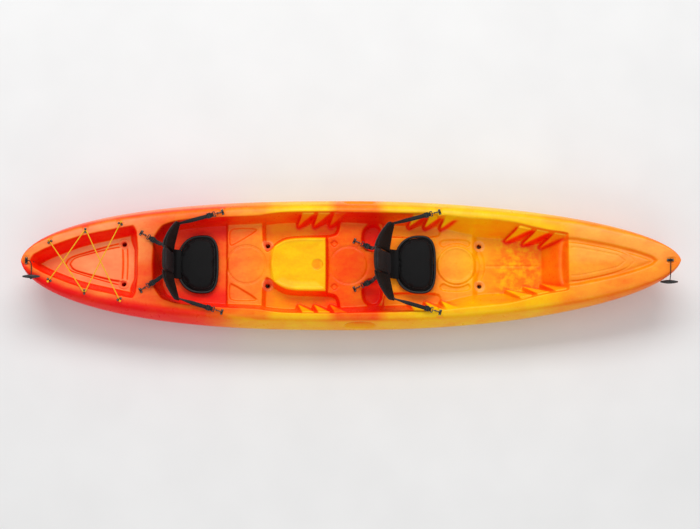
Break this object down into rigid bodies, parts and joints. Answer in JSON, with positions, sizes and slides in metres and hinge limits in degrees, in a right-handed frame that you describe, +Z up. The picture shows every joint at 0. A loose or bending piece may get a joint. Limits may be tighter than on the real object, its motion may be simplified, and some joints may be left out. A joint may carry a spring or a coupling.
{
  "type": "tandem kayak",
  "caption": "Open-deck tandem kayak: hollow moulded hull with tank well, clip-on padded seats, scupper tubes, bungee lashing, carry toggles and a stern drain plug.",
  "frame": {"origin": "centre of the bounding box, on the plane of the hull's flat bottom", "axes": "+X towards the bow, +Y towards port, +Z up"},
  "size_m": [4.09, 0.82, 0.4914],
  "materials": {
    "moulded_hull": "satin rotationally moulded polyethylene, red blended through orange to yellow",
    "black_plastic": "moulded nylon",
    "toggle_plastic": "moulded, slightly worn",
    "rubber": "smooth",
    "rivet": "plain",
    "hook_steel": "polished wire",
    "bungee": "braided shock cord",
    "carry_cord": "braided cord",
    "webbing": "woven webbing",
    "seat_fabric": "woven nylon",
    "wing_fabric": "coated nylon"
  },
  "bodies": {
    "hull": {"hull": "moulded_hull", "drain_socket": "black_plastic", "drain_gasket": "rubber", "strap_pad_eyes": "black_plastic", "pad_eye_rivets": "rivet", "bungee_port": "bungee", "bungee_starboard": "bungee", "bungee_eyes": "black_plastic", "bungee_eye_rivets": "rivet", "bungee_knots": "bungee", "bow_carry_eye": "black_plastic", "stern_carry_eye": "black_plastic", "carry_eye_rivets": "rivet", "rear_seat_pad": "seat_fabric", "rear_seat_aft_strap_port": "webbing", "rear_seat_aft_strap_starboard": "webbing", "rear_seat_side_strap_port": "webbing", "rear_seat_side_strap_starboard": "webbing", "rear_seat_buckles": "black_plastic", "rear_seat_hooks": "hook_steel", "front_seat_pad": "seat_fabric", "front_seat_aft_strap_port": "webbing", "front_seat_aft_strap_starboard": "webbing", "front_seat_side_strap_port": "webbing", "front_seat_side_strap_starboard": "webbing", "front_seat_buckles": "black_plastic", "front_seat_hooks": "hook_steel"},
    "drain_plug": {"drain_plug": "black_plastic"},
    "bow_toggle": {"bow_toggle_cord": "carry_cord", "bow_toggle": "toggle_plastic", "bow_toggle_knot": "carry_cord"},
    "stern_toggle": {"stern_toggle_cord": "carry_cord", "stern_toggle": "toggle_plastic", "stern_toggle_knot": "carry_cord"},
    "rear_back": {"rear_seat_back": "seat_fabric", "rear_seat_wing_port": "wing_fabric", "rear_seat_wing_starboard": "wing_fabric"},
    "front_back": {"front_seat_back": "seat_fabric", "front_seat_wing_port": "wing_fabric", "front_seat_wing_starboard": "wing_fabric"},
    "rear_seat_aft_gate_port": {"rear_seat_aft_gate_port": "hook_steel"},
    "rear_seat_aft_gate_starboard": {"rear_seat_aft_gate_starboard": "hook_steel"},
    "rear_seat_side_gate_port": {"rear_seat_side_gate_port": "hook_steel"},
    "rear_seat_side_gate_starboard": {"rear_seat_side_gate_starboard": "hook_steel"},
    "front_seat_aft_gate_port": {"front_seat_aft_gate_port": "hook_steel"},
    "front_seat_aft_gate_starboard": {"front_seat_aft_gate_starboard": "hook_steel"},
    "front_seat_side_gate_port": {"front_seat_side_gate_port": "hook_steel"},
    "front_seat_side_gate_starboard": {"front_seat_side_gate_starboard": "hook_steel"}
  },
  "joints": [
    {"name": "drain_plug_turn", "type": "hinge", "parent": "hull", "child": "drain_plug", "pos_m": [-1.983, 0, 0.288], "axis": [1, 0, 0], "continuous": true},
    {"name": "bow_toggle_swing", "type": "hinge", "parent": "hull", "child": "bow_toggle", "pos_m": [1.98, 0, 0.38332], "axis": [-1, 0, 0], "range_deg": [0, 100]},
    {"name": "stern_toggle_swing", "type": "hinge", "parent": "hull", "child": "stern_toggle", "pos_m": [-2.012, 0, 0.35791], "axis": [0, -1, 0], "range_deg": [0, 100]},
    {"name": "rear_back_fold", "type": "hinge", "parent": "hull", "child": "rear_back", "pos_m": [-1.1, 0, 0.195], "axis": [0, 1, 0], "range_deg": [0, 60], "deforming": ["rear_seat_aft_strap_port", "rear_seat_aft_strap_starboard", "rear_seat_side_strap_port", "rear_seat_side_strap_starboard"]},
    {"name": "front_back_fold", "type": "hinge", "parent": "hull", "child": "front_back", "pos_m": [0.264, 0, 0.188], "axis": [0, 1, 0], "range_deg": [0, 60], "deforming": ["front_seat_aft_strap_port", "front_seat_aft_strap_starboard", "front_seat_side_strap_port", "front_seat_side_strap_starboard"]},
    {"name": "rear_seat_aft_gate_port_open", "type": "hinge", "parent": "hull", "child": "rear_seat_aft_gate_port", "pos_m": [-1.27632, 0.1635, 0.33322], "axis": [-0.521, -0.8535, 0], "range_deg": [0, 25], "stiffness_Nm_per_rad": 0.03, "springref_deg": -8.59},
    {"name": "rear_seat_aft_gate_starboard_open", "type": "hinge", "parent": "hull", "child": "rear_seat_aft_gate_starboard", "pos_m": [-1.27632, -0.1635, 0.33322], "axis": [0.521, -0.8535, 0], "range_deg": [0, 25], "stiffness_Nm_per_rad": 0.03, "springref_deg": -8.59},
    {"name": "rear_seat_side_gate_port_open", "type": "hinge", "parent": "hull", "child": "rear_seat_side_gate_port", "pos_m": [-0.8322, 0.305, 0.31944], "axis": [-0.2848, 0.9586, 0], "range_deg": [0, 25], "stiffness_Nm_per_rad": 0.03, "springref_deg": -8.59},
    {"name": "rear_seat_side_gate_starboard_open", "type": "hinge", "parent": "hull", "child": "rear_seat_side_gate_starboard", "pos_m": [-0.8322, -0.305, 0.31944], "axis": [0.2848, 0.9586, 0], "range_deg": [0, 25], "stiffness_Nm_per_rad": 0.03, "springref_deg": -8.59},
    {"name": "front_seat_aft_gate_port_open", "type": "hinge", "parent": "hull", "child": "front_seat_aft_gate_port", "pos_m": [0.05471, 0.13938, 0.1897], "axis": [-0.4055, -0.9141, 0], "range_deg": [0, 25], "stiffness_Nm_per_rad": 0.03, "springref_deg": -8.59},
    {"name": "front_seat_aft_gate_starboard_open", "type": "hinge", "parent": "hull", "child": "front_seat_aft_gate_starboard", "pos_m": [0.05471, -0.13938, 0.1897], "axis": [0.4055, -0.9141, 0], "range_deg": [0, 25], "stiffness_Nm_per_rad": 0.03, "springref_deg": -8.59},
    {"name": "front_seat_side_gate_port_open", "type": "hinge", "parent": "hull", "child": "front_seat_side_gate_port", "pos_m": [0.52363, 0.30741, 0.31717], "axis": [-0.2672, 0.9636, 0], "range_deg": [0, 25], "stiffness_Nm_per_rad": 0.03, "springref_deg": -8.59},
    {"name": "front_seat_side_gate_starboard_open", "type": "hinge", "parent": "hull", "child": "front_seat_side_gate_starboard", "pos_m": [0.52363, -0.30741, 0.31717], "axis": [0.2672, 0.9636, 0], "range_deg": [0, 25], "stiffness_Nm_per_rad": 0.03, "springref_deg": -8.59}
  ]
}
